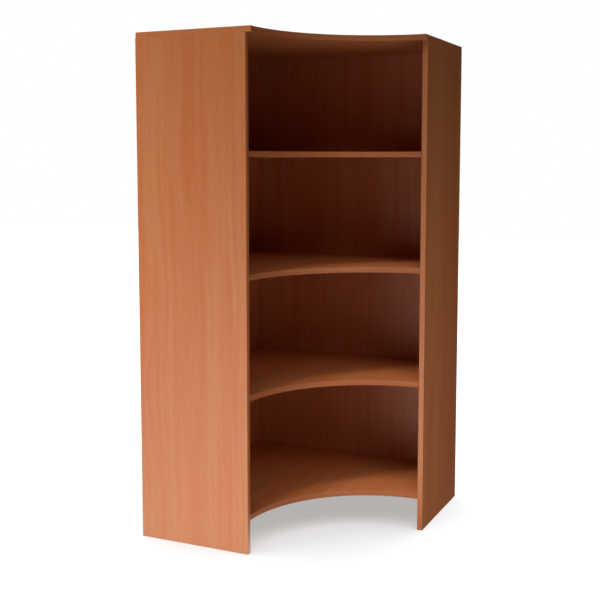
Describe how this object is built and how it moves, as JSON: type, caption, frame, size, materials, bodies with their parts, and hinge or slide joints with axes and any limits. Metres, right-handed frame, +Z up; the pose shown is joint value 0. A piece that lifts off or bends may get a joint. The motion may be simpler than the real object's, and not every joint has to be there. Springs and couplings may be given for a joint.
{
  "type": "corner shelf unit",
  "caption": "Tall open corner bookcase with a quarter-round concave front: side panels to the floor, back panels into the corner, fixed and lift-out shelves and a matching top.",
  "frame": {"origin": "on the floor, in the middle of the square that the unit takes up", "axes": "+Z up; the back corner is at -X, +Y, with one wall along X at +Y and the other along Y at -X; the concave front looks to +X, -Y"},
  "size_m": [0.74, 0.74, 1.47],
  "materials": {
    "cherry_board": "faced chipboard with a satin cherry wood pattern, grain upright on panels",
    "cherry_edging": "edge strip in the boards' wood pattern, satin",
    "zinc_casting": "cast zinc, matt",
    "plated_steel": "zinc-plated steel",
    "beech": "plain turned beech",
    "brown_plastic": "moulded in the boards' brown, matt"
  },
  "bodies": {
    "carcass": {"back_corner_screws": "plated_steel", "back_panel_cam_bolts": "plated_steel", "back_panel_cam_locks": "zinc_casting", "back_panel_dowels": "beech", "bottom_shelf": "cherry_board", "bottom_shelf_back_screws": "plated_steel", "bottom_shelf_cam_bolts": "plated_steel", "bottom_shelf_cam_locks": "zinc_casting", "bottom_shelf_dowels": "beech", "bottom_shelf_edging": "cherry_edging", "left_back_panel": "cherry_board", "left_side_front_edging": "cherry_edging", "left_side_panel": "cherry_board", "lower_shelf_supports": "brown_plastic", "middle_shelf": "cherry_board", "middle_shelf_back_screws": "plated_steel", "middle_shelf_cam_bolts": "plated_steel", "middle_shelf_cam_locks": "zinc_casting", "middle_shelf_dowels": "beech", "middle_shelf_edging": "cherry_edging", "right_back_panel": "cherry_board", "right_side_front_edging": "cherry_edging", "right_side_panel": "cherry_board", "top_front_edging": "cherry_edging", "top_left_edging": "cherry_edging", "top_panel": "cherry_board", "top_panel_cam_bolts": "plated_steel", "top_panel_cam_locks": "zinc_casting", "top_panel_dowels": "beech", "top_right_edging": "cherry_edging", "upper_shelf_supports": "brown_plastic"},
    "lower_lift_out_shelf": {"lower_shelf": "cherry_board", "lower_shelf_edging": "cherry_edging"},
    "upper_lift_out_shelf": {"upper_shelf": "cherry_board", "upper_shelf_edging": "cherry_edging"}
  },
  "joints": [
    {"name": "lower_shelf_lift", "type": "slide", "parent": "carcass", "child": "lower_lift_out_shelf", "axis": [0, 0, 1], "range_m": [0, 0.325]},
    {"name": "upper_shelf_lift", "type": "slide", "parent": "carcass", "child": "upper_lift_out_shelf", "axis": [0, 0, 1], "range_m": [0, 0.318]}
  ]
}
